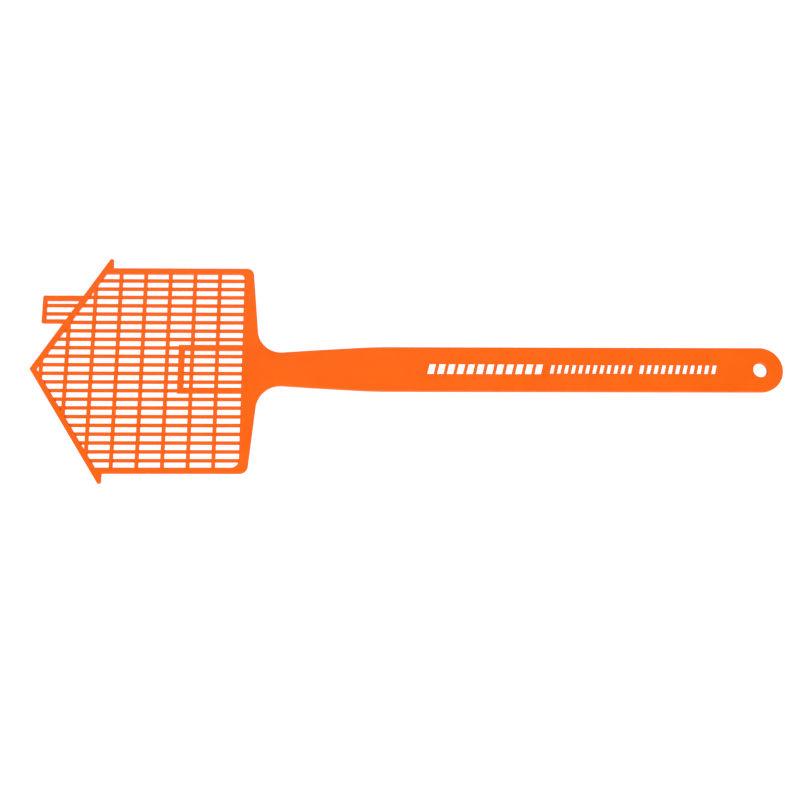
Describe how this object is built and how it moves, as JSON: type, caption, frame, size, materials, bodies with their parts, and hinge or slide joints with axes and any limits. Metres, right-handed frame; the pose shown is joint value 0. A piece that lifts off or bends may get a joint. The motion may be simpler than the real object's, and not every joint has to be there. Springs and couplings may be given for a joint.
{
  "type": "fly swatter",
  "caption": "One-piece plastic fly swatter: a house-shaped open lattice head on a narrow flexing neck and a long flat handle with a hanging hole.",
  "frame": {"origin": "middle of the hanging hole, on the flat back face", "axes": "+X from the head along the swatter to the handle's round end, +Y across it to the side with the chimney, +Z out of the ribbed and printed front"},
  "size_m": [0.4062, 0.124, 0.0026],
  "materials": {
    "swatter_plastic": "satin",
    "print_ink": "satin"
  },
  "bodies": {
    "handle": {"handle": "swatter_plastic", "handle_print": "print_ink"},
    "neck": {"neck_handle_side": "swatter_plastic", "neck_head_side": "swatter_plastic", "neck_middle": "swatter_plastic"},
    "head": {"base_plate": "swatter_plastic", "chimney_frame": "swatter_plastic", "chimney_slat_1": "swatter_plastic", "chimney_slat_2": "swatter_plastic", "door_frame": "swatter_plastic", "door_slat_1": "swatter_plastic", "door_slat_2": "swatter_plastic", "door_slat_3": "swatter_plastic", "door_slat_4": "swatter_plastic", "rib_1": "swatter_plastic", "rib_2": "swatter_plastic", "rib_3": "swatter_plastic", "rib_4": "swatter_plastic", "rib_5": "swatter_plastic", "rib_6": "swatter_plastic", "rib_7_door": "swatter_plastic", "rib_7_lower": "swatter_plastic", "rib_7_upper": "swatter_plastic", "rib_8_door": "swatter_plastic", "rib_8_lower": "swatter_plastic", "rib_8_upper": "swatter_plastic", "roof_rail_lower": "swatter_plastic", "roof_rail_upper": "swatter_plastic", "slat_01": "swatter_plastic", "slat_02": "swatter_plastic", "slat_03": "swatter_plastic", "slat_04": "swatter_plastic", "slat_05": "swatter_plastic", "slat_06": "swatter_plastic", "slat_07": "swatter_plastic", "slat_08": "swatter_plastic", "slat_09": "swatter_plastic", "slat_10": "swatter_plastic", "slat_11": "swatter_plastic", "slat_12": "swatter_plastic", "slat_13": "swatter_plastic", "slat_14": "swatter_plastic", "slat_15": "swatter_plastic", "slat_16": "swatter_plastic", "slat_17": "swatter_plastic", "slat_18": "swatter_plastic", "slat_19": "swatter_plastic", "slat_20": "swatter_plastic", "slat_21": "swatter_plastic", "slat_22": "swatter_plastic", "wall_rail_lower": "swatter_plastic", "wall_rail_upper": "swatter_plastic"}
  },
  "joints": [
    {"name": "neck_flex", "type": "hinge", "parent": "handle", "child": "neck", "pos_m": [-0.2134, 0, 0.0012], "axis": [0, 1, 0], "range_deg": [-15, 15], "stiffness_Nm_per_rad": 1.36, "deforming": ["neck_handle_side"]},
    {"name": "neck_flex_head", "type": "hinge", "parent": "neck", "child": "head", "pos_m": [-0.2479, 0, 0.001], "axis": [0, 1, 0], "range_deg": [-15, 15], "deforming": ["neck_head_side"]}
  ],
  "couplings": [
    {"joint": "neck_flex_head", "follows": "neck_flex", "ratio": 1}
  ]
}
